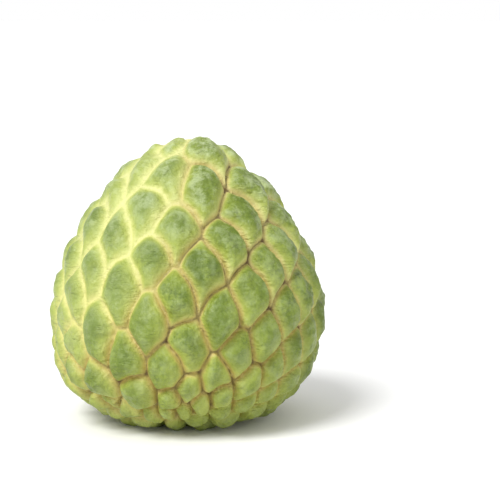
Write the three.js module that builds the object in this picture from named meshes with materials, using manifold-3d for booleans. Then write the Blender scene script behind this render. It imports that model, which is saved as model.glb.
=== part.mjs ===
// A custard apple: a blunt, heart-like green fruit whose whole skin is raised in scales, with a short
// woody stem in a hollow at its upper end. It stands on the flattened tips of the knobs round its lower
// end. Millimetres, +Z up, origin in the middle of the underside. The front of the fruit faces -Y.
import * as THREE from "three";
import { mergeVertices } from "three/addons/utils/BufferGeometryUtils.js";
import Module from "manifold-3d";

const { clamp, degToRad, smoothstep } = THREE.MathUtils;

// Form under the scales: a body of revolution, widest below its middle and fuller below than above.
const FORM_TOP = 112;
const FORM_BOTTOM = 2;
const FORM_RADIUS = 53;
const WIDEST_HEIGHT = 45;
const UPPER_HEIGHT_POWER = 1.5;
const UPPER_RADIUS_POWER = 1.6;
const LOWER_HEIGHT_POWER = 2.75;
const LOWER_RADIUS_POWER = 2.8;

// The line from the lower tip to the stem leans, so the stem end faces up and to the back.
const LEAN_BACK = degToRad(19);
const LEAN_RIGHT = degToRad(2.6);

// Hollow at the stem end, and where the scales begin and are full on its slope.
const HOLLOW_DEPTH = 7;
const HOLLOW_WIDTH = degToRad(12);
const RIM_FROM = degToRad(4);
const RIM_TO = degToRad(11);

// Scales stand in one spiral, in the order in which they grew, from the stem end to the lower tip.
// They are large at the stem end and become small knobs at the tip.
const SPIRAL_TURN = degToRad(137.635);
const SPIRAL_START = degToRad(168.4);
const FIRST_SCALE = 1;
const EVEN_COUNT = 156.5;
const STEM_END_THINNING = 0.44;
const TIP_CROWDING = 1;
const CROWDING_FROM = degToRad(128);
const CROWDING_TO = degToRad(152);
const PLACE_WOBBLE = 0.05;
const SIZE_WOBBLE = 0.06;
const RISE_WOBBLE = 0.16;

// Scales that stand off the even spiral: number, then millimetres to the right and down.
const MOVED = new Map([
  [9, [-4, 5]],
  [17, [2, 7]],
  [22, [-9, 2]],
  [30, [2.5, 4.5]],
  [38, [-2, 4]],
  [51, [-1.5, 3]],
  [64, [-2, 2]],
  [77, [-5.5, 9]],
  [90, [-12, 5]],
  [93, [-4, 4]],
  [98, [-1.5, 5]],
  [106, [-1.5, 4.5]],
  [111, [-9, 11]],
  [114, [2, 5]],
  [119, [-6.5, 12]],
  [124, [-4, 18]],
  [127, [0, 4]],
  [132, [-8, 20]],
  [140, [0, 4]],
  [153, [2, 8]],
]);

// Scales that never grew.
const MISSING = [103, 137, 145, 158];

// Outline of one scale: a tall cell with a round head towards the stem and a narrow tip, which is
// blunter in the lower scales.
const CELL_WIDTH = 0.6;
const CELL_LENGTH = 0.92;
const CELL_POWER = 5;
const CELL_POINT = 1.15;
const CELL_BASE = 2;
const BLUNT_FROM = 0.5;
const BLUNT_TO = 0.64;
const BLUNT_SHARE = 0.85;
const CELL_REACH = 45;
const SEAM_ROUNDING = 3;
const LEAST_SEAM = 0.02;
const TINY = 1e-9;

// Relief of one scale: steep sides up from the seams, a low dome, and a lifted tip. The lowest scales
// stand out as knobs.
const SLOPE_WIDTH = 0.25;
const SIDE_RISE = 3.6;
const DOME_RISE = 2;
const DOME_WIDTH = 0.58;
const DOME_LENGTH = 0.9;
const KNOB_RISE = 2;
const KNOB_FROM = 0.62;
const KNOB_TO = 0.78;
const TIP_LIFT = 0.8;
const SEAM_DEPTH = 3.4;

// Valleys stand open on one side of the fruit, and run wide and smooth round the stem end. The scales
// there are lower too.
const OPEN_SIDE = new THREE.Vector3(-0.75, -0.3, 0.55).normalize();
const OPEN_FROM = 0.45;
const OPEN_TO = 0.9;
const OPEN_WIDTH = 1.4;
const OPEN_DROP = 0.28;
const STEM_END_FROM = 0.1;
const STEM_END_TO = 0.22;

// Skin mesh: rows of triangles along each edge of an icosahedron, how much closer they stand at the
// lower end, and how near a seam a corner joins it.
const SKIN_DETAIL = 23;
const LOWER_SHARE = 0.15;
const HALVINGS = 40;
const SNAP = 1.3;
const SNAP_STEPS = 3;

// Stem: a cut woody stub that stands in a round socket with a little air round it.
const STEM_RADIUS = 3.1;
const STEM_WAIST = 2.7;
const STEM_COLLAR = 4.1;
const STEM_CUT_RADIUS = 3.3;
const STEM_HEIGHT = 10;
const STEM_SIDES = 18;
const COLLAR_LOW = 1.9;
const COLLAR_HIGH = 3.2;
const COLLAR_BEVEL = 0.6;
const COLLAR_TAPER = 0.3;
const WAIST_HEIGHT = 5.5;
const CUT_BEVEL = 0.6;
const CUT_DISH = 0.3;
const SOCKET_DEPTH = 4.5;
const AIR_GAP = 0.35;

const SKIN_COLOUR = 0x93b45c;
const STEM_COLOUR = 0x7a5a38;

const wasm = await Module();
wasm.setup();

// A fixed draw between -1 and 1 for scale number k.
function draw(k, series) {
  const x = Math.sin(k * 12.9898 + series * 78.233) * 43758.5453;
  return 2 * (x - Math.floor(x)) - 1;
}

// Axes of the growth: "stem" points at the stem end, "side" to the right and "back" to the rear.
const stem = new THREE.Vector3(
  Math.sin(LEAN_RIGHT),
  Math.sin(LEAN_BACK) * Math.cos(LEAN_RIGHT),
  Math.cos(LEAN_BACK) * Math.cos(LEAN_RIGHT),
);
const side = new THREE.Vector3(1, 0, 0).addScaledVector(stem, -stem.x).normalize();
const back = new THREE.Vector3().crossVectors(stem, side);
const formCentre = new THREE.Vector3(0, 0, WIDEST_HEIGHT);

// Point of the smooth form in the direction d, before the hollow is pressed in.
function formBase(d) {
  const sine = Math.max(Math.hypot(d.x, d.y), TINY);
  const upper = d.z >= 0;
  const radius = FORM_RADIUS * sine ** (2 / (upper ? UPPER_RADIUS_POWER : LOWER_RADIUS_POWER));
  const share = Math.abs(d.z) ** (2 / (upper ? UPPER_HEIGHT_POWER : LOWER_HEIGHT_POWER));
  const height = WIDEST_HEIGHT + share * ((upper ? FORM_TOP : FORM_BOTTOM) - WIDEST_HEIGHT);
  return new THREE.Vector3((radius * d.x) / sine, (radius * d.y) / sine, height);
}

function formPoint(d) {
  const hollow = HOLLOW_DEPTH * Math.exp(-((stem.angleTo(d) / HOLLOW_WIDTH) ** 2));
  return formBase(d).addScaledVector(stem, -hollow);
}

// The direction d whose point on the smooth form is seen from the form's centre along sight.
function directionSeen(sight) {
  const flat = Math.max(Math.hypot(sight.x, sight.y), TINY);
  const upper = sight.z >= 0;
  const tall = upper ? FORM_TOP - WIDEST_HEIGHT : WIDEST_HEIGHT - FORM_BOTTOM;
  const heightPower = 2 / (upper ? UPPER_HEIGHT_POWER : LOWER_HEIGHT_POWER);
  const radiusPower = 2 / (upper ? UPPER_RADIUS_POWER : LOWER_RADIUS_POWER);
  const aim = Math.abs(sight.z) / flat;
  let low = 0;
  let high = 1;
  for (let i = 0; i < HALVINGS; i++) {
    const cosine = (low + high) / 2;
    const radius = FORM_RADIUS * (1 - cosine * cosine) ** (radiusPower / 2);
    if (tall * cosine ** heightPower < aim * radius) low = cosine;
    else high = cosine;
  }
  const sine = Math.sqrt(Math.max(1 - low * low, 0));
  return new THREE.Vector3((sight.x / flat) * sine, (sight.y / flat) * sine, upper ? low : -low);
}

// Outward normal of the smooth form in the direction d.
function formNormal(d) {
  const step = 1e-3;
  const first = new THREE.Vector3(0.3, 0.5, 0.81).cross(d).normalize();
  const second = new THREE.Vector3().crossVectors(d, first);
  const across = (t) => {
    const ahead = formPoint(d.clone().addScaledVector(t, step).normalize());
    return ahead.sub(formPoint(d.clone().addScaledVector(t, -step).normalize()));
  };
  return across(first).cross(across(second)).normalize();
}

// How closely the scales stand at an angle from the stem end.
function crowding(angle) {
  const tip = TIP_CROWDING * smoothstep(angle, CROWDING_FROM, CROWDING_TO);
  return 1 - STEM_END_THINNING * Math.cos(angle) + tip;
}

// Angles from the stem end of all the scales, from the running count of scales above each angle.
function scaleAngles() {
  const steps = 720;
  const width = Math.PI / steps;
  const angles = [];
  let count = 0;
  for (let i = 0; i < steps; i++) {
    const low = crowding(i * width) * Math.sin(i * width);
    const high = crowding((i + 1) * width) * Math.sin((i + 1) * width);
    const added = ((low + high) / 4) * width * EVEN_COUNT;
    while (angles.length + 0.5 < count + added) {
      angles.push((i + (angles.length + 0.5 - count) / added) * width);
    }
    count += added;
  }
  return angles;
}

// Axes of a scale in the direction d: across it to the right, and down it towards the lower tip.
function scaleAxes(d) {
  const normal = formNormal(d);
  const down = stem.clone().negate().addScaledVector(normal, stem.dot(normal)).normalize();
  return { across: new THREE.Vector3().crossVectors(normal, down), down };
}

// One scale: its middle on the form, its own axes, and its sizes.
function makeScale(angle, k) {
  const turn = SPIRAL_START + k * SPIRAL_TURN;
  const d = stem.clone().multiplyScalar(Math.cos(angle));
  d.addScaledVector(side, Math.sin(angle) * Math.sin(turn));
  d.addScaledVector(back, -Math.sin(angle) * Math.cos(turn));
  const even = FORM_RADIUS * Math.sqrt((4 * Math.PI) / (EVEN_COUNT * crowding(angle)));
  const shift = (PLACE_WOBBLE * even) / FORM_RADIUS;
  d.addScaledVector(side, shift * draw(k, 1)).addScaledVector(back, shift * draw(k, 2)).normalize();
  if (MOVED.has(k)) {
    const [toRight, toTip] = MOVED.get(k);
    const { across, down } = scaleAxes(d);
    d.addScaledVector(across, toRight / FORM_RADIUS).addScaledVector(down, toTip / FORM_RADIUS);
    d.normalize();
  }
  const low = angle / Math.PI;
  return {
    middle: formPoint(d),
    ...scaleAxes(d),
    size: even * (1 + SIZE_WOBBLE * draw(k, 3)),
    rise: 1 + RISE_WOBBLE * draw(k, 4),
    low,
    point: CELL_POINT * (1 - BLUNT_SHARE * smoothstep(low, BLUNT_FROM, BLUNT_TO)),
  };
}

const allScales = scaleAngles().map(makeScale);
const scales = allScales.filter((scale, k) => k >= FIRST_SCALE && !MISSING.includes(k));

// Where a point stands in the cell of one scale: its place along the scale's axes, and how far out.
function placeInCell(point, scale) {
  const away = point.clone().sub(scale.middle);
  const distance = away.length();
  if (distance > CELL_REACH) return null;
  const flatU = away.dot(scale.across);
  const flatV = away.dot(scale.down);
  const stretch = distance / (Math.hypot(flatU, flatV) + TINY);
  const u = flatU * stretch;
  const v = flatV * stretch;
  const width = CELL_WIDTH * scale.size;
  const length = CELL_LENGTH * scale.size;
  const r = Math.hypot(u / width, v / length);
  const raised = CELL_BASE + r ** CELL_POWER + (scale.point * v) / length;
  const out = raised ** (1 / CELL_POWER);
  const steepness = CELL_POWER * r ** (CELL_POWER - 2);
  const slope = scale.across.clone().multiplyScalar((steepness * u) / width ** 2);
  slope.addScaledVector(scale.down, (steepness * v) / length ** 2 + scale.point / length);
  slope.multiplyScalar(out / (raised * CELL_POWER));
  return { scale, u, v, out, slope };
}

// The scale that holds a point, with the distance to its seams: the nearest, and all of them blended.
function findCell(point) {
  const places = scales.map((scale) => placeInCell(point, scale)).filter(Boolean);
  const own = places.reduce((a, b) => (b.out < a.out ? b : a));
  let seam = Infinity;
  let blend = 0;
  const towards = new THREE.Vector3();
  for (const other of places) {
    if (other === own) continue;
    const turn = own.slope.clone().sub(other.slope);
    const steep = Math.max(turn.length(), TINY);
    const distance = (other.out - own.out) / steep;
    blend += Math.max(distance, LEAST_SEAM) ** -SEAM_ROUNDING;
    if (distance < seam) {
      seam = distance;
      towards.copy(turn).multiplyScalar(distance / steep);
    }
  }
  return { own, seam, soft: blend ** (-1 / SEAM_ROUNDING), towards };
}

// Height of the skin over the form in the direction d: a pad inside the seams of its cell.
function skinHeight(cell, d) {
  const { scale, u, v } = cell.own;
  const openSide = smoothstep(d.dot(OPEN_SIDE), OPEN_FROM, OPEN_TO);
  const stemEnd = 1 - smoothstep(scale.low, STEM_END_FROM, STEM_END_TO);
  const smooth = Math.max(openSide, stemEnd);
  const slope = SLOPE_WIDTH * scale.size * (1 + (OPEN_WIDTH - 1) * smooth);
  const share = clamp(cell.soft / slope, 0, 1);
  const wall = (1 - smooth) * (1 - (1 - share) ** 2) + smooth * smoothstep(share, 0, 1);
  const acrossDome = (u / (DOME_WIDTH * scale.size)) ** 2;
  const alongDome = (v / (DOME_LENGTH * scale.size)) ** 2;
  const dome = DOME_RISE * Math.max(1 - acrossDome - alongDome, 0);
  const knob = KNOB_RISE * smoothstep(scale.low, KNOB_FROM, KNOB_TO);
  const rise = (SIDE_RISE + knob) * scale.rise;
  const lift = ((TIP_LIFT * v) / (CELL_LENGTH * scale.size)) * (1 - smooth);
  const inHollow = smoothstep(stem.angleTo(d), RIM_FROM, RIM_TO);
  const pad = wall * (rise + dome + lift) * (1 - OPEN_DROP * smooth);
  return pad * inHollow - SEAM_DEPTH;
}

// A corner of the skin in the direction d, moved onto a seam when one is near.
function skinPoint(d) {
  let cell = findCell(formPoint(d));
  if (cell.seam < SNAP) {
    for (let i = 0; i < SNAP_STEPS; i++) {
      d = directionSeen(formBase(d).add(cell.towards).sub(formCentre));
      cell = findCell(formPoint(d));
    }
  }
  const point = formPoint(d).addScaledVector(formNormal(d), skinHeight(cell, d));
  point.z = Math.max(point.z, 0);
  return point;
}

// A geometry with only its corners left, each one shared by the triangles that meet there.
function weld(geometry) {
  geometry.deleteAttribute("normal");
  geometry.deleteAttribute("uv");
  return mergeVertices(geometry, 1e-4);
}

function toSolid(geometry) {
  const vertProperties = new Float32Array(geometry.attributes.position.array);
  const triVerts = new Uint32Array(geometry.index.array);
  return new wasm.Manifold(new wasm.Mesh({ numProp: 3, vertProperties, triVerts }));
}

function toGeometry(solid) {
  const mesh = solid.getMesh();
  const geometry = new THREE.BufferGeometry();
  geometry.setAttribute("position", new THREE.BufferAttribute(mesh.vertProperties, 3));
  geometry.setIndex(new THREE.BufferAttribute(mesh.triVerts, 1));
  geometry.computeVertexNormals();
  return geometry;
}

// Turns and moves a shape that was made round +Z, from the floor of the hollow, to the stem end.
const hollowFloor = formPoint(stem).addScaledVector(stem, -SEAM_DEPTH);
const toStemEnd = new THREE.Matrix4()
  .makeRotationFromQuaternion(new THREE.Quaternion().setFromUnitVectors(new THREE.Vector3(0, 0, 1), stem))
  .setPosition(hollowFloor);

// A turned shape round +Z from a list of [radius, height], starting and ending on the axis.
function turned(profile) {
  const points = profile.map(([radius, height]) => new THREE.Vector2(radius, height));
  return weld(new THREE.LatheGeometry(points, STEM_SIDES).rotateX(Math.PI / 2));
}

function fruitGeometry() {
  const geometry = weld(new THREE.IcosahedronGeometry(1, SKIN_DETAIL));
  const corners = geometry.attributes.position;
  for (let i = 0; i < corners.count; i++) {
    const sight = new THREE.Vector3().fromBufferAttribute(corners, i).normalize();
    sight.z -= LOWER_SHARE;
    corners.setXYZ(i, ...skinPoint(directionSeen(sight)));
  }
  const socketRadius = STEM_RADIUS + AIR_GAP;
  const socket = turned([
    [0, -SOCKET_DEPTH - AIR_GAP],
    [socketRadius, -SOCKET_DEPTH - AIR_GAP],
    [socketRadius, STEM_HEIGHT],
    [0, STEM_HEIGHT],
  ]).applyMatrix4(toStemEnd);
  return toGeometry(toSolid(geometry).subtract(toSolid(socket)));
}

function stemGeometry() {
  return turned([
    [0, -SOCKET_DEPTH],
    [STEM_RADIUS, -SOCKET_DEPTH],
    [STEM_RADIUS, COLLAR_LOW - COLLAR_BEVEL],
    [STEM_COLLAR, COLLAR_LOW],
    [STEM_COLLAR - COLLAR_TAPER, COLLAR_HIGH],
    [STEM_WAIST, WAIST_HEIGHT],
    [STEM_CUT_RADIUS, STEM_HEIGHT - CUT_BEVEL],
    [STEM_CUT_RADIUS - CUT_BEVEL, STEM_HEIGHT],
    [0, STEM_HEIGHT - CUT_DISH],
  ]).applyMatrix4(toStemEnd);
}

const skinMaterial = new THREE.MeshStandardMaterial({ color: SKIN_COLOUR, roughness: 0.55, metalness: 0 });
const stemMaterial = new THREE.MeshStandardMaterial({ color: STEM_COLOUR, roughness: 0.9, metalness: 0 });

const fruit = new THREE.Mesh(fruitGeometry(), skinMaterial);
fruit.name = "fruit";

const stub = new THREE.Mesh(stemGeometry(), stemMaterial);
stub.name = "stem";

// The scales make the outline uneven, so the whole is moved until its middle stands over the origin.
const custardApple = new THREE.Group();
custardApple.add(fruit, stub);
const middle = new THREE.Box3().setFromObject(fruit).getCenter(new THREE.Vector3());
custardApple.position.set(-middle.x, -middle.y, 0);

export default custardApple;
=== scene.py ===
# A custard apple on a plain pale floor: one skin raised in scales, and the woody stem in its hollow.
from math import cos, pi, radians, sin, sqrt

import bmesh
import bpy
import numpy as np
from mathutils import Matrix, Vector


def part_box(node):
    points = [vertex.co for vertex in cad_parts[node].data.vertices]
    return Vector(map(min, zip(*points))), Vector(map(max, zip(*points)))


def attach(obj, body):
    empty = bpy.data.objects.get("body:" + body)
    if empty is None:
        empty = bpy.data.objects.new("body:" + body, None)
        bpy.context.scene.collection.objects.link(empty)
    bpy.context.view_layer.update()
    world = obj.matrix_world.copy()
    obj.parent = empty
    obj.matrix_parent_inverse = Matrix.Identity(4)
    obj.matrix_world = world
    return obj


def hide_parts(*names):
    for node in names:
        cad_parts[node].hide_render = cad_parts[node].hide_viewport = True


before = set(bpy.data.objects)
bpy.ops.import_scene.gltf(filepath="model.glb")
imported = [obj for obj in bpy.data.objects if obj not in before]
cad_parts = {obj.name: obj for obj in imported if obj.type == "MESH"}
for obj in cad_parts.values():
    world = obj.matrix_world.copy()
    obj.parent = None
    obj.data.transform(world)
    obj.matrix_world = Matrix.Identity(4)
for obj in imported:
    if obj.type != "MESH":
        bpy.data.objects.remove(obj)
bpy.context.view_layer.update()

MM = 0.001

# Form under the scales, in millimetres: a body of revolution, widest below its middle. Its powers
# round the height and the radius.
FORM_TOP = 112
FORM_BOTTOM = 2
FORM_RADIUS = 53
WIDEST_HEIGHT = 45
UPPER_POWERS = (1.5, 1.6)
LOWER_POWERS = (2.75, 2.8)
LEAN_BACK = radians(19)
LEAN_RIGHT = radians(2.6)
HOLLOW_DEPTH = 7
HOLLOW_WIDTH = radians(12)
RIM_FROM = radians(4)
RIM_TO = radians(11)
# Step between the points that give a normal, and a direction askew to all the axes to start from.
NORMAL_STEP = 1e-3
ASKEW = (0.3, 0.5, 0.81)

# Scales in one spiral from the stem end to the lower tip.
SPIRAL_TURN = radians(137.635)
SPIRAL_START = radians(168.4)
FIRST_SCALE = 1
EVEN_COUNT = 156.5
STEM_END_THINNING = 0.44
TIP_CROWDING = 1
CROWDING_FROM = radians(128)
CROWDING_TO = radians(152)
ANGLE_STEPS = 721
PLACE_WOBBLE = 0.05
SIZE_WOBBLE = 0.06
RISE_WOBBLE = 0.16
# The numbers that scatter the draws: any large, uneven ones do.
DRAW_STEP = 12.9898
SERIES_STEP = 78.233
DRAW_SPREAD = 43758.5453
# Scales that stand off the even spiral: number, then millimetres to the right and down.
MOVED = {
    9: (-4, 5),
    17: (2, 7),
    22: (-9, 2),
    30: (2.5, 4.5),
    38: (-2, 4),
    51: (-1.5, 3),
    64: (-2, 2),
    77: (-5.5, 9),
    90: (-12, 5),
    93: (-4, 4),
    98: (-1.5, 5),
    106: (-1.5, 4.5),
    111: (-9, 11),
    114: (2, 5),
    119: (-6.5, 12),
    124: (-4, 18),
    127: (0, 4),
    132: (-8, 20),
    140: (0, 4),
    153: (2, 8),
}
# Scales that never grew.
MISSING = (103, 137, 145, 158)

# Outline of one scale: a tall cell with a round head towards the stem and a narrow tip, which is
# blunter in the lower scales. A scale is not looked for farther off than CELL_REACH.
CELL_WIDTH = 0.6
CELL_LENGTH = 0.92
CELL_POWER = 5
CELL_POINT = 1.15
CELL_BASE = 2
BLUNT_FROM = 0.5
BLUNT_TO = 0.64
BLUNT_SHARE = 0.85
CELL_REACH = 45
SEAM_ROUNDING = 3
LEAST_SEAM = 0.02
TINY = 1e-9

# Relief of one scale: steep sides up from the seams, a low dome, and a lifted tip. The lowest scales
# stand out as knobs.
SLOPE_WIDTH = 0.25
SIDE_RISE = 3.6
DOME_RISE = 2
DOME_WIDTH = 0.58
DOME_LENGTH = 0.9
KNOB_RISE = 2
KNOB_FROM = 0.62
KNOB_TO = 0.78
TIP_LIFT = 0.8
SEAM_DEPTH = 3.4

# Valleys stand open on one side, and run wide and smooth round the stem end, between lower scales.
OPEN_SIDE = (-0.75, -0.3, 0.55)
OPEN_FROM = 0.45
OPEN_TO = 0.9
OPEN_WIDTH = 1.4
OPEN_DROP = 0.28
STEM_END_FROM = 0.1
STEM_END_TO = 0.22

# Fine skin mesh: how finely the sphere is split, how much closer its corners stand at the lower end,
# and how near a seam a corner is drawn onto it. Corners of a face that shrinks below LEAST_FACE of
# its size go back to where they were. CHUNK points are worked out at a time.
SPHERE_LEVELS = 6
EDGE_CUTS = 2
LOWER_SHARE = 0.26
HALVINGS = 40
SKIN_SNAP = 0.36
SNAP_STEPS = 3
SETTLED_SHARE = 0.25
LEAST_FACE = 0.1
CHUNK = 6000

# The skin's own small waves: lumps and wrinkles, each a sum of WAVES plane waves.
WAVES = 14
WAVE_RANGE = (0.8, 1.3)
LUMP_LENGTH = 7.0
LUMP_HEIGHT = 0.2
LUMP_SEED = 3
WRINKLE_LENGTH = 2.8
WRINKLE_HEIGHT = 0.1
WRINKLE_SEED = 4

# Camera: the photograph's frame, its lens, and where the fruit's middle stands in it.
FRAME_PX = 500
LENS = 120
SENSOR = 36
LOOK_DOWN = radians(8)
PX_PER_MM = 2.57
FRUIT_PX = (188, 276.5)
FRUIT_HEIGHT = 110

# Light: a broad soft key from the upper left and in front, and an even pale room.
KEY_FROM = (-0.48, -0.56, 0.88)
KEY_STRENGTH = 2.75
KEY_SPREAD = radians(28)
ROOM_LIGHT = 0.78
BACKGROUND = 1.0

# Stem, in millimetres: radius and height over the floor of the hollow, from its foot to the cut.
STEM_PROFILE = (
    (4.6, -1.5),
    (4.4, 0.4),
    (3.9, 1.6),
    (3.3, 3.0),
    (2.9, 4.6),
    (2.8, 6.2),
    (3.0, 7.8),
    (3.25, 9.2),
    (3.1, 9.8),
)
CUT_RADIUS, CUT_HEIGHT = STEM_PROFILE[-1]
STEM_SIDES = 72
STEM_STEPS = 4
# Rings of the cut, as shares of its radius.
CUT_RINGS = (0.86, 0.6, 0.35, 0.12)
# Ridges along the stem, RIDGE_DEPTH high where the radius is RIDGE_RADIUS, and finer ones over them.
RIDGE_DEPTH = 0.22
RIDGE_RADIUS = 3
RIDGES = 9
RIDGE_SLANT = 0.35
FINE_RIDGES = 17
FINE_SLANT = -0.6
FINE_SHARE = 0.5
# The stem's end: ragged, dished, and bare wood from these heights on.
RAGGED_FROM = 8.5
RAGGED_HEIGHT = 0.25
RAGGED_TEETH = 5
DISH_FROM = 9.4
DISH_DEPTH = 0.35
WOOD_FROM = 9.3
WOOD_TO = 9.75

# Half the floor's width, in metres.
FLOOR_SIZE = 40


def smoothstep(x, low, high):
    t = np.clip((x - low) / (high - low), 0, 1)
    return t * t * (3 - 2 * t)


def unit(vectors):
    return vectors / np.linalg.norm(vectors, axis=-1, keepdims=True)


def draw(k, series):
    """A fixed draw between -1 and 1 for scale number k."""
    x = np.sin(k * DRAW_STEP + series * SERIES_STEP) * DRAW_SPREAD
    return 2 * (x - np.floor(x)) - 1


# Axes of the growth: towards the stem end, to the right, and to the rear.
STEM = np.array([
    sin(LEAN_RIGHT),
    sin(LEAN_BACK) * cos(LEAN_RIGHT),
    cos(LEAN_BACK) * cos(LEAN_RIGHT),
])
SIDE = unit(np.array([1.0, 0, 0]) - STEM * STEM[0])
BACK = np.cross(STEM, SIDE)


def angle_from_stem(d):
    return np.arccos(np.clip(d @ STEM, -1, 1))


def form_base(d):
    """Points of the smooth form in the directions d, before the hollow is pressed in."""
    cosine = np.abs(d[:, 2])
    sine = np.sqrt(np.maximum(1 - d[:, 2] ** 2, TINY))
    upper = d[:, 2] >= 0
    radius = FORM_RADIUS * sine ** np.where(upper, 2 / UPPER_POWERS[1], 2 / LOWER_POWERS[1])
    share = cosine ** np.where(upper, 2 / UPPER_POWERS[0], 2 / LOWER_POWERS[0])
    height = WIDEST_HEIGHT + share * (np.where(upper, FORM_TOP, FORM_BOTTOM) - WIDEST_HEIGHT)
    return np.column_stack([radius * d[:, 0] / sine, radius * d[:, 1] / sine, height])


def form_point(d):
    hollow = HOLLOW_DEPTH * np.exp(-((angle_from_stem(d) / HOLLOW_WIDTH) ** 2))
    return form_base(d) - hollow[:, None] * STEM


def directions_seen(sight):
    """The directions d whose points on the smooth form are seen from its centre along sight."""
    flat = np.maximum(np.hypot(sight[:, 0], sight[:, 1]), TINY)
    upper = sight[:, 2] >= 0
    tall = np.where(upper, FORM_TOP - WIDEST_HEIGHT, WIDEST_HEIGHT - FORM_BOTTOM)
    height_power = 2 / np.where(upper, UPPER_POWERS[0], LOWER_POWERS[0])
    radius_power = 2 / np.where(upper, UPPER_POWERS[1], LOWER_POWERS[1])
    aim = np.abs(sight[:, 2]) / flat
    low, high = np.zeros(len(sight)), np.ones(len(sight))
    for _ in range(HALVINGS):
        cosine = (low + high) / 2
        below = tall * cosine**height_power < aim * FORM_RADIUS * (1 - cosine**2) ** (radius_power / 2)
        low, high = np.where(below, cosine, low), np.where(below, high, cosine)
    sine = np.sqrt(np.maximum(1 - low**2, 0))
    outward = sight[:, :2] / flat[:, None] * sine[:, None]
    return np.column_stack([outward, np.where(upper, low, -low)])


def form_normal(d):
    """Outward normals of the smooth form."""
    first = unit(np.cross(ASKEW, d))
    second = np.cross(d, first)
    ahead = [form_point(unit(d + NORMAL_STEP * t)) for t in (first, second)]
    behind = [form_point(unit(d - NORMAL_STEP * t)) for t in (first, second)]
    return unit(np.cross(ahead[0] - behind[0], ahead[1] - behind[1]))


def crowding(angle):
    """How closely the scales stand at an angle from the stem end."""
    tip = TIP_CROWDING * smoothstep(angle, CROWDING_FROM, CROWDING_TO)
    return 1 - STEM_END_THINNING * np.cos(angle) + tip


def scale_axes(d):
    """Across a scale to the right, and down it towards the lower tip."""
    normal = form_normal(d)
    down = unit(normal * (normal @ STEM)[:, None] - STEM)
    return np.cross(normal, down), down


def make_scales():
    """All the scales: middles on the form, their own axes, and their sizes, as arrays."""
    angles = np.linspace(0, pi, ANGLE_STEPS)
    dense = crowding(angles) * np.sin(angles)
    count = np.concatenate([[0], np.cumsum((dense[1:] + dense[:-1]) / 4) * angles[1] * EVEN_COUNT])
    k = np.arange(FIRST_SCALE, round(count[-1] - TINY))
    k = k[~np.isin(k, MISSING)]
    angle = np.interp(k + 0.5, count, angles)
    turn = SPIRAL_START + k * SPIRAL_TURN
    even = FORM_RADIUS * np.sqrt(4 * pi / (EVEN_COUNT * crowding(angle)))
    shift = PLACE_WOBBLE * even / FORM_RADIUS
    right = np.sin(angle) * np.sin(turn) + shift * draw(k, 1)
    rear = -np.sin(angle) * np.cos(turn) + shift * draw(k, 2)
    d = unit(np.cos(angle)[:, None] * STEM + right[:, None] * SIDE + rear[:, None] * BACK)
    across, down = scale_axes(d)
    for number, (to_right, to_tip) in MOVED.items():
        i = np.flatnonzero(k == number)[0]
        d[i] = unit(d[i] + (to_right * across[i] + to_tip * down[i]) / FORM_RADIUS)
    across, down = scale_axes(d)
    return {
        "middle": form_point(d),
        "across": across,
        "down": down,
        "size": even * (1 + SIZE_WOBBLE * draw(k, 3)),
        "rise": 1 + RISE_WOBBLE * draw(k, 4),
        "low": angle / pi,
        "point": CELL_POINT * (1 - BLUNT_SHARE * smoothstep(angle / pi, BLUNT_FROM, BLUNT_TO)),
        "tint": draw(k, 5),
    }


SCALES = make_scales()


def find_cells(points):
    """The scale that holds each point, its place in the cell, and the distances to the seams."""
    away = points[:, None] - SCALES["middle"]
    distance = np.linalg.norm(away, axis=2)
    flat_u = np.einsum("ijk,jk->ij", away, SCALES["across"])
    flat_v = np.einsum("ijk,jk->ij", away, SCALES["down"])
    stretch = distance / (np.hypot(flat_u, flat_v) + TINY)
    u, v = flat_u * stretch, flat_v * stretch
    width, length = CELL_WIDTH * SCALES["size"], CELL_LENGTH * SCALES["size"]
    r = np.hypot(u / width, v / length)
    steepness = CELL_POWER * r ** (CELL_POWER - 2)
    slope_u = steepness * u / width**2
    slope_v = steepness * v / length**2 + SCALES["point"] / length
    slope = slope_u[..., None] * SCALES["across"] + slope_v[..., None] * SCALES["down"]
    raised = CELL_BASE + r**CELL_POWER + SCALES["point"] * v / length
    out = raised ** (1 / CELL_POWER)
    slope *= (out / (raised * CELL_POWER))[..., None]
    out[distance > CELL_REACH] = np.inf
    rows = np.arange(len(points))
    own = np.argmin(out, axis=1)
    turn = slope[rows, own][:, None] - slope
    steep = np.maximum(np.linalg.norm(turn, axis=2), TINY)
    gap = (out - out[rows, own][:, None]) / steep
    gap[rows, own] = np.inf
    near = np.argmin(gap, axis=1)
    seam = gap[rows, near].copy()
    soft = (np.maximum(gap, LEAST_SEAM) ** -SEAM_ROUNDING).sum(1) ** (-1 / SEAM_ROUNDING)
    gap[rows, near] = np.inf
    return {
        "own": own,
        "u": u[rows, own],
        "v": v[rows, own],
        "seam": seam,
        "soft": soft,
        "corner": gap.min(1),
        "towards": turn[rows, near] * (seam / steep[rows, near])[:, None],
    }


def cells_of(d):
    """find_cells for many directions, a chunk at a time."""
    parts = [find_cells(form_point(d[i:i + CHUNK])) for i in range(0, len(d), CHUNK)]
    return {key: np.concatenate([part[key] for part in parts]) for key in parts[0]}


def turned_over(before, after, faces):
    """Which faces a move of their corners has turned over or squeezed flat."""
    areas = []
    for d in (before, after):
        a, b, c = (d[faces[:, i]] for i in range(3))
        areas.append(np.einsum("ij,ij->i", np.cross(b - a, c - a), a))
    return areas[1] < LEAST_FACE * areas[0]


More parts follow.
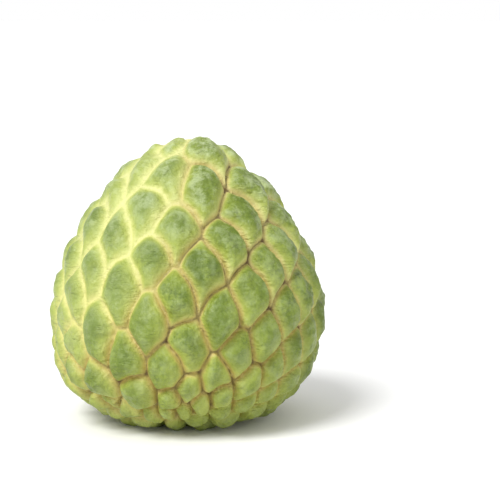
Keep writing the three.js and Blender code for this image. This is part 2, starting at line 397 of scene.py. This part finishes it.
def draw_to_seams(d, faces):
    """Moves the corners that lie near a seam onto it, so that the grooves run clean."""
    start = d.copy()
    cells = cells_of(d)
    near = cells["seam"] < SKIN_SNAP
    moved = d[near]
    for _ in range(SNAP_STEPS):
        moved = directions_seen(form_base(moved) + cells_of(moved)["towards"] - [0, 0, WIDEST_HEIGHT])
    settled = cells_of(moved)["seam"] < SKIN_SNAP * SETTLED_SHARE
    d[np.flatnonzero(near)[settled]] = moved[settled]
    for _ in range(SNAP_STEPS):
        corners = faces[turned_over(start, d, faces)].ravel()
        d[corners] = start[corners]
    return d


def waves(points, length, seed):
    """A smooth random field of about unit height, with bumps of that length."""
    rng = np.random.RandomState(seed)
    ways = unit(rng.normal(size=(WAVES, 3))) * rng.uniform(*WAVE_RANGE, (WAVES, 1)) * 2 * pi / length
    return np.sin(points @ ways.T + rng.uniform(0, 2 * pi, WAVES)).sum(1) / sqrt(WAVES / 2)


def skin_shape(d):
    """Points of the skin in the directions d, and what its colours need to know at each."""
    cells = cells_of(d)
    own = cells["own"]
    size, low = SCALES["size"][own], SCALES["low"][own]
    open_side = smoothstep(d @ unit(np.array(OPEN_SIDE)), OPEN_FROM, OPEN_TO)
    stem_end = 1 - smoothstep(low, STEM_END_FROM, STEM_END_TO)
    smooth = np.maximum(open_side, stem_end)
    slope = SLOPE_WIDTH * size * (1 + (OPEN_WIDTH - 1) * smooth)
    share = np.clip(cells["soft"] / slope, 0, 1)
    side = (1 - smooth) * (1 - (1 - share) ** 2) + smooth * smoothstep(share, 0, 1)
    dome = 1 - (cells["u"] / (DOME_WIDTH * size)) ** 2 - (cells["v"] / (DOME_LENGTH * size)) ** 2
    knob = KNOB_RISE * smoothstep(low, KNOB_FROM, KNOB_TO)
    rise = (SIDE_RISE + knob) * SCALES["rise"][own]
    lift = TIP_LIFT * cells["v"] / (CELL_LENGTH * size) * (1 - smooth)
    pad = side * (rise + DOME_RISE * np.clip(dome, 0, 1) + lift) * (1 - OPEN_DROP * smooth)
    in_hollow = smoothstep(angle_from_stem(d), RIM_FROM, RIM_TO)
    form = form_point(d)
    lumps = LUMP_HEIGHT * waves(form, LUMP_LENGTH, LUMP_SEED)
    lumps += WRINKLE_HEIGHT * waves(form, WRINKLE_LENGTH, WRINKLE_SEED)
    height = pad * in_hollow - SEAM_DEPTH + lumps * side
    points = form + form_normal(d) * height[:, None]
    points[:, 2] = np.maximum(points[:, 2], 0)
    marks = {
        "seam": cells["seam"],
        "soft": cells["soft"],
        "share": cells["soft"] / size,
        "corner": cells["corner"],
        "smooth": smooth,
        "beside": cells["u"] / size,
        "low": angle_from_stem(d) / pi,
        "tint": SCALES["tint"][own],
        "hollow": 1 - in_hollow,
    }
    return points, marks


def finish_mesh(bm, name, material):
    """An object at the origin from a finished bmesh, smooth and facing out."""
    bmesh.ops.recalc_face_normals(bm, faces=bm.faces[:])
    mesh = bpy.data.meshes.new(name)
    bm.to_mesh(mesh)
    bm.free()
    mesh.shade_smooth()
    mesh.materials.append(material)
    piece = bpy.data.objects.new(name, mesh)
    bpy.context.scene.collection.objects.link(piece)
    return piece


def make_skin(material):
    """The whole skin from a finely split sphere, with the marks that its colours read."""
    bm = bmesh.new()
    bmesh.ops.create_icosphere(bm, subdivisions=SPHERE_LEVELS, radius=1)
    bmesh.ops.subdivide_edges(bm, edges=bm.edges[:], cuts=EDGE_CUTS, use_grid_fill=True)
    bm.verts.index_update()
    faces = np.array([[vertex.index for vertex in face.verts] for face in bm.faces])
    sight = unit(np.array([vertex.co for vertex in bm.verts], float)) - [0, 0, LOWER_SHARE]
    points, marks = skin_shape(draw_to_seams(directions_seen(sight), faces))
    # The solid fruit's box says where the middle of the outline stands.
    low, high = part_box("fruit")
    middle = (points.min(0) + points.max(0)) / 2 * MM
    shift = np.array([(low.x + high.x) / 2 - middle[0], (low.y + high.y) / 2 - middle[1], 0])
    for vertex, point in zip(bm.verts, points * MM + shift):
        vertex.co = point
    skin = finish_mesh(bm, "skin", material)
    for name, values in marks.items():
        attribute = skin.data.attributes.new(name, "FLOAT", "POINT")
        attribute.data.foreach_set("value", values.astype(np.float32))
    return skin, shift


# Materials

# Share of the larger blotches in the mottle.
BLOTCH_SHARE = 0.7


def srgb(*levels):
    """A linear colour from 0 to 255 levels as the eye sees them."""
    def linear(c):
        c /= 255
        return c / 12.92 if c <= 0.04045 else ((c + 0.055) / 1.055) ** 2.4
    return tuple(linear(c) for c in levels) + (1,)


class Tree:
    """A node tree with short calls to add and join nodes."""

    def __init__(self, tree):
        self.tree = tree

    def put(self, socket, value):
        if isinstance(value, bpy.types.NodeSocket):
            self.tree.links.new(value, socket)
        else:
            socket.default_value = value

    def add(self, kind, inputs=None, **settings):
        node = self.tree.nodes.new(kind)
        for key, value in settings.items():
            setattr(node, key, value)
        for key, value in (inputs or {}).items():
            self.put(node.inputs[key], value)
        return node

    def mark(self, name):
        return self.add("ShaderNodeAttribute", attribute_name=name).outputs["Fac"]

    def math(self, operation, a, b):
        return self.add("ShaderNodeMath", {0: a, 1: b}, operation=operation).outputs[0]

    def times(self, a, b):
        return self.math("MULTIPLY", a, b)

    def ramp(self, value, low, high, to_low=0.0, to_high=1.0):
        """value from low..high taken smoothly to to_low..to_high."""
        inputs = {"Value": value, "From Min": low, "From Max": high, "To Min": to_low, "To Max": to_high}
        return self.add("ShaderNodeMapRange", inputs, interpolation_type="SMOOTHSTEP").outputs["Result"]

    def mix(self, share, a, b):
        inputs = {"Factor": share, 6: a, 7: b}
        return self.add("ShaderNodeMix", inputs, data_type="RGBA").outputs[2]

    def place(self):
        return self.add("ShaderNodeTexCoord").outputs["Object"]

    def stretched(self, place, factors):
        """The place with each axis multiplied, for noise that runs in one direction."""
        return self.add("ShaderNodeVectorMath", {0: place, 1: factors}, operation="MULTIPLY").outputs[0]

    def noise(self, place, scale, detail=3.0, roughness=0.55):
        inputs = {"Vector": place, "Scale": scale, "Detail": detail, "Roughness": roughness}
        return self.add("ShaderNodeTexNoise", inputs).outputs["Fac"]

    def mottled(self, mottle, blotch_scale, grain_scale, low, high):
        """The mottle group with its own values, as a mask."""
        inputs = {"Blotch Scale": blotch_scale, "Grain Scale": grain_scale, "Low": low, "High": high}
        return self.add("ShaderNodeGroup", inputs, node_tree=mottle).outputs["Mask"]


def make_mottle():
    """Blotches of two sizes as one mask: used on the skin and on the stem's bark."""
    group = bpy.data.node_groups.new("Mottle", "ShaderNodeTree")
    for name, value in (("Blotch Scale", 90.0), ("Grain Scale", 600.0), ("Low", 0.4), ("High", 0.6)):
        socket = group.interface.new_socket(name, in_out="INPUT", socket_type="NodeSocketFloat")
        socket.default_value = value
    group.interface.new_socket("Mask", in_out="OUTPUT", socket_type="NodeSocketFloat")
    t = Tree(group)
    given = t.add("NodeGroupInput").outputs
    place = t.place()
    blotch = t.noise(place, given["Blotch Scale"], detail=4.0)
    grain = t.noise(place, given["Grain Scale"], detail=2.0, roughness=0.7)
    both = t.math("ADD", t.times(blotch, BLOTCH_SHARE), t.times(grain, 1 - BLOTCH_SHARE))
    t.put(t.add("NodeGroupOutput").inputs["Mask"], t.ramp(both, given["Low"], given["High"]))
    return group


def new_material(name):
    material = bpy.data.materials.new(name)
    material.use_nodes = True
    material.node_tree.nodes.clear()
    return material, Tree(material.node_tree)


def end_material(t, colour, roughness, height, distance, **constants):
    """The shader at the end of a material, with its bump and its constant values."""
    bump = t.add("ShaderNodeBump", {"Height": height, "Distance": distance, "Strength": 1.0})
    shader = t.add("ShaderNodeBsdfPrincipled", {
        "Base Color": colour, "Roughness": roughness, "Normal": bump.outputs["Normal"],
    })
    for name, value in constants.items():
        shader.inputs[name.replace("_", " ")].default_value = value
    output = t.add("ShaderNodeOutputMaterial")
    t.put(output.inputs["Surface"], shader.outputs["BSDF"])


# Colours of the skin, from the green of the pads to the brown of the seams.
MOSS_GREEN = srgb(84, 104, 14)
FRESH_GREEN = srgb(127, 144, 46)
TINT_GREEN = srgb(124, 141, 46)
STREAK_GREEN = srgb(84, 104, 22)
# Lighter green for the lowest scales: painted bounce light from the floor.
FLOOR_BOUNCE_GREEN = srgb(150, 162, 68)
# Lighter green where the valleys stand open, on the side and top that face the key light: painted light.
LIT_SIDE_GREEN = srgb(164, 180, 104)
HEART_GREEN = srgb(80, 104, 12)
# Whitish bloom, partly real bloom and partly a painted sheen.
BLOOM_AND_SHEEN = srgb(182, 196, 146)
EDGE_YELLOW = srgb(176, 184, 84)
RIM_CREAM = srgb(214, 215, 142)
LOW_CREAM = srgb(208, 200, 118)
# Tan down to the seams: partly the skin's own tan, partly painted shade in the grooves.
SEAM_TAN_AND_SHADE = srgb(180, 157, 86)
# Brown at the seams: partly real browning, partly painted shade in the grooves and corners.
SEAM_BROWN_AND_SHADE = srgb(96, 70, 34)
FRECKLE_BROWN = srgb(110, 100, 50)
HOLLOW_BROWN = srgb(146, 132, 78)

# Colours of the bark, of the cut wood and of the floor.
BARK_DARK = srgb(88, 62, 38)
BARK_LIGHT = srgb(158, 122, 82)
CUT_WOOD = srgb(186, 156, 112)
FLOOR_PALE = srgb(244, 244, 244)
FLOOR_PALER = srgb(248, 248, 248)

# Depth of each surface's fine relief, in metres.
SKIN_RELIEF = 0.0014
BARK_RELIEF = 0.0005
FLOOR_RELIEF = 0.00002


def pad_colour(t, mottle):
    """Pads: fresh green, mottled lighter and darker, each of its own tint, with painted light: lighter
    towards the bottom for bounce from the floor and where valleys open towards the key, under patches of
    bloom that are partly a painted sheen, heavier at the top for light from above.
    """
    place, low, smooth = t.place(), t.mark("low"), t.mark("smooth")
    green = t.mix(t.mottled(mottle, 130.0, 900.0, 0.42, 0.6), MOSS_GREEN, FRESH_GREEN)
    green = t.mix(t.ramp(t.mark("tint"), -1.0, 1.0, 0.0, 0.5), green, TINT_GREEN)
    streak = t.noise(t.stretched(place, (1.0, 1.0, 0.3)), 800.0, detail=3.0, roughness=0.6)
    green = t.mix(t.ramp(streak, 0.5, 0.7, 0.0, 0.45), green, STREAK_GREEN)
    # Lighter towards the bottom: painted bounce light from the floor.
    green = t.mix(t.ramp(low, 0.58, 0.9, 0.0, 0.5), green, FLOOR_BOUNCE_GREEN)
    # Lighter where the valleys stand open, towards the key light: painted light.
    green = t.mix(t.times(smooth, 0.5), green, LIT_SIDE_GREEN)
    heart = t.times(t.ramp(t.mark("share"), 0.15, 0.29, 0.0, 0.65), t.ramp(low, 0.2, 0.4, 0.5, 1.0))
    green = t.mix(heart, green, HEART_GREEN)
    # Bloom patches, partly a painted sheen, heavier towards the top as painted light from above.
    bloom_and_sheen = t.ramp(t.noise(place, 200.0, detail=5.0, roughness=0.7), 0.42, 0.64)
    return t.mix(t.times(bloom_and_sheen, t.ramp(low, 0.15, 0.5, 0.82, 0.2)), green, BLOOM_AND_SHEEN)


def banded(t, green):
    """Bands: green yellows towards a pad's edge, to a pale rim, and tan down to the seam, the tan partly
    painted shade in the groove. They are broader on the pad's right side, as painted shade on the side
    away from the key light, and ragged where the valleys stand open."""
    low, smooth = t.mark("low"), t.mark("smooth")
    uneven = t.math("SUBTRACT", t.noise(t.place(), 190.0, detail=4.0, roughness=0.65), 0.5)
    ragged = t.math("ADD", t.mark("share"), t.times(uneven, t.ramp(smooth, 0.0, 1.0, 0.08, 0.2)))
    # Bands broader on each pad's right side: painted shade on the side away from the key light.
    width = t.math("ADD", t.ramp(t.mark("beside"), -0.15, 0.35, 0.09, 0.15), t.times(smooth, 0.03))
    green = t.mix(t.ramp(ragged, 0.05, t.times(width, 1.8), 0.7, 0.0), green, EDGE_YELLOW)
    cream = t.mix(t.ramp(low, 0.3, 0.75), RIM_CREAM, LOW_CREAM)
    # Tan near the seam, fainter on the lit open side: partly painted shade in the groove.
    tan = t.times(t.ramp(t.mark("soft"), 0.3, 1.9, 1.0, 0.0), t.ramp(smooth, 0.0, 0.8, 0.65, 0.05))
    cream = t.mix(tan, cream, SEAM_TAN_AND_SHADE)
    band = t.ramp(ragged, t.ramp(smooth, 0.0, 1.0, 0.03, -0.02), width, 1.0, 0.0)
    return t.mix(band, green, cream)


def browned_and_shaded(t, colour):
    """Brown where three pads meet and along some of the seams, partly real browning and partly painted
    shade in the grooves, and brown in freckles and in the stem's hollow.
    """
    place, seam = t.place(), t.mark("seam")
    patchy = t.ramp(t.noise(place, 120.0, detail=3.0), 0.45, 0.6)
    # Brown where three pads meet and along the seams, fainter on the lit open side: partly painted
    # shade.
    spot = t.times(t.ramp(t.mark("corner"), 0.3, 1.9, 1.0, 0.0), t.ramp(seam, 0.2, 0.8, 1.0, 0.0))
    spot = t.times(spot, t.ramp(patchy, 0.0, 1.0, 0.55, 1.0))
    line = t.times(t.ramp(seam, 0.0, 0.4, 0.6, 0.0), patchy)
    brown = t.times(t.math("MAXIMUM", spot, line), t.ramp(t.mark("smooth"), 0.0, 0.07, 0.9, 0.0))
    colour = t.mix(brown, colour, SEAM_BROWN_AND_SHADE)
    freckle = t.ramp(t.noise(place, 1300.0, detail=2.0, roughness=0.5), 0.7, 0.78, 0.0, 0.35)
    colour = t.mix(freckle, colour, FRECKLE_BROWN)
    return t.mix(t.times(t.mark("hollow"), 0.75), colour, HOLLOW_BROWN)


def skin_relief(t):
    """Pores, folds, and patches of level creases."""
    place = t.place()
    pores = t.noise(place, 900.0, detail=4.0, roughness=0.6)
    folds = t.noise(place, 330.0, detail=3.0, roughness=0.6)
    creases = t.noise(t.stretched(place, (1.0, 1.0, 3.5)), 260.0, detail=3.0, roughness=0.55)
    creased = t.ramp(t.noise(place, 90.0, detail=2.0), 0.45, 0.6, 0.1, 0.8)
    height = t.math("ADD", t.times(pores, 0.35), t.times(folds, 0.5))
    return t.math("ADD", height, t.times(creases, creased))


def skin_material(mottle):
    material, t = new_material("custard_apple_skin")
    colour = browned_and_shaded(t, banded(t, pad_colour(t, mottle)))
    roughness = t.ramp(t.noise(t.place(), 300.0, detail=3.0), 0.3, 0.7, 0.34, 0.54)
    end_material(t, colour, roughness, skin_relief(t), SKIN_RELIEF, Specular_IOR_Level=0.5)
    return material


def bark_material(mottle):
    material, t = new_material("stem_bark")
    mask = t.mottled(mottle, 420.0, 2200.0, 0.35, 0.65)
    colour = t.mix(t.mark("cut"), t.mix(mask, BARK_DARK, BARK_LIGHT), CUT_WOOD)
    roughness = t.ramp(mask, 0.0, 1.0, 0.75, 0.95)
    height = t.noise(t.place(), 1500.0, detail=4.0, roughness=0.7)
    end_material(t, colour, roughness, height, BARK_RELIEF, Specular_IOR_Level=0.25)
    return material


def floor_material():
    material, t = new_material("pale_floor")
    colour = t.mix(t.noise(t.place(), 6.0, detail=3.0), FLOOR_PALE, FLOOR_PALER)
    height = t.noise(t.place(), 400.0, detail=2.0)
    end_material(t, colour, 0.7, height, FLOOR_RELIEF, Specular_IOR_Level=0.2)
    return material


# Stem

def stem_rings():
    """Radius and height of every ring of the stub, up its side and in over the cut."""
    rings = []
    for (r0, z0), (r1, z1) in zip(STEM_PROFILE, STEM_PROFILE[1:]):
        for i in range(STEM_STEPS):
            rings.append((r0 + (r1 - r0) * i / STEM_STEPS, z0 + (z1 - z0) * i / STEM_STEPS))
    rings.append((CUT_RADIUS, CUT_HEIGHT))
    return rings + [(CUT_RADIUS * share, CUT_HEIGHT) for share in CUT_RINGS]


def stub_point(radius, height, turn):
    """A point of the stub: ridged along its length, ragged at the cut, and dished inside it."""
    fine = FINE_SHARE * sin(FINE_RIDGES * turn + FINE_SLANT * height)
    ridge = RIDGE_DEPTH * (sin(RIDGES * turn + RIDGE_SLANT * height) + fine)
    wide = radius + ridge * radius / RIDGE_RADIUS
    ragged = RAGGED_HEIGHT * sin(RAGGED_TEETH * turn + 1) * smoothstep(height, RAGGED_FROM, CUT_HEIGHT)
    dish = smoothstep(height, DISH_FROM, CUT_HEIGHT) * (1 - radius / CUT_RADIUS)
    return Vector((wide * cos(turn), wide * sin(turn), height + ragged - DISH_DEPTH * dish))


def make_stem(material, shift):
    """The woody stub: a ring drawn up and over its profile, in the floor of the hollow."""
    bm = bmesh.new()
    profile = stem_rings()
    rings = [bmesh.ops.create_circle(bm, segments=STEM_SIDES, radius=1)["verts"]]
    edges = bm.edges[:]
    for _ in profile[1:]:
        made = bmesh.ops.extrude_edge_only(bm, edges=edges)["geom"]
        edges = [part for part in made if isinstance(part, bmesh.types.BMEdge)]
        rings.append([part for part in made if isinstance(part, bmesh.types.BMVert)])
    bmesh.ops.holes_fill(bm, edges=edges)
    floor = Vector((form_point(STEM[None]) - SEAM_DEPTH * STEM)[0])
    to_stem_end = Vector((0, 0, 1)).rotation_difference(Vector(STEM)).to_matrix()
    bm.verts.index_update()
    on_cut = [0.0] * len(bm.verts)
    for (radius, height), ring in zip(profile, rings):
        for vertex in ring:
            turn = np.arctan2(vertex.co.y, vertex.co.x)
            vertex.co = (to_stem_end @ stub_point(radius, height, turn) + floor) * MM + Vector(shift)
            on_cut[vertex.index] = float(smoothstep(height, WOOD_FROM, WOOD_TO))
    stem = finish_mesh(bm, "stem_stub", material)
    attribute = stem.data.attributes.new("cut", "FLOAT", "POINT")
    attribute.data.foreach_set("value", on_cut)
    return stem


# Setting

def make_floor():
    bm = bmesh.new()
    bmesh.ops.create_grid(bm, x_segments=2, y_segments=2, size=FLOOR_SIZE)
    floor = finish_mesh(bm, "floor", floor_material())


def light_scene():
    """A broad soft key from the upper left, and an even pale room round it."""
    sun = bpy.data.lights.new("key", "SUN")
    sun.energy = KEY_STRENGTH
    sun.angle = KEY_SPREAD
    key = bpy.data.objects.new("key", sun)
    key.rotation_euler = Vector(KEY_FROM).to_track_quat("Z", "Y").to_euler()
    bpy.context.scene.collection.objects.link(key)
    world = bpy.data.worlds.new("studio")
    world.use_nodes = True
    t = Tree(world.node_tree)
    seen = t.add("ShaderNodeLightPath").outputs["Is Camera Ray"]
    strength = t.ramp(seen, 0.0, 1.0, ROOM_LIGHT, BACKGROUND)
    room = world.node_tree.nodes["Background"]
    t.put(room.inputs["Color"], (1, 1, 1, 1))
    t.put(room.inputs["Strength"], strength)
    scene = bpy.context.scene
    scene.world = world
    scene.view_settings.view_transform = "Standard"


def make_camera():
    """A camera that sees the fruit's middle at its place in the photograph's frame."""
    focal_px = FRAME_PX * LENS / SENSOR
    distance = focal_px / PX_PER_MM * MM
    forward = Vector((0, cos(LOOK_DOWN), -sin(LOOK_DOWN)))
    right = Vector((1, 0, 0))
    up = right.cross(forward)
    across = (FRUIT_PX[0] - FRAME_PX / 2) / focal_px * distance
    rise = -(FRUIT_PX[1] - FRAME_PX / 2) / focal_px * distance
    middle = Vector((0, 0, FRUIT_HEIGHT / 2 * MM))
    data = bpy.data.cameras.new("camera")
    data.lens = LENS
    data.sensor_width = SENSOR
    camera = bpy.data.objects.new("camera", data)
    axes = Matrix((right, up, -forward)).transposed().to_4x4()
    place = middle - forward * distance - right * across - up * rise
    camera.matrix_world = Matrix.Translation(place) @ axes
    bpy.context.scene.collection.objects.link(camera)
    bpy.context.scene.camera = camera


make_camera()
mottle = make_mottle()
skin, shift = make_skin(skin_material(mottle))
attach(skin, "root")
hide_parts("fruit")
stem = make_stem(bark_material(mottle), shift)
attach(stem, "root")
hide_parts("stem")
make_floor()
light_scene()
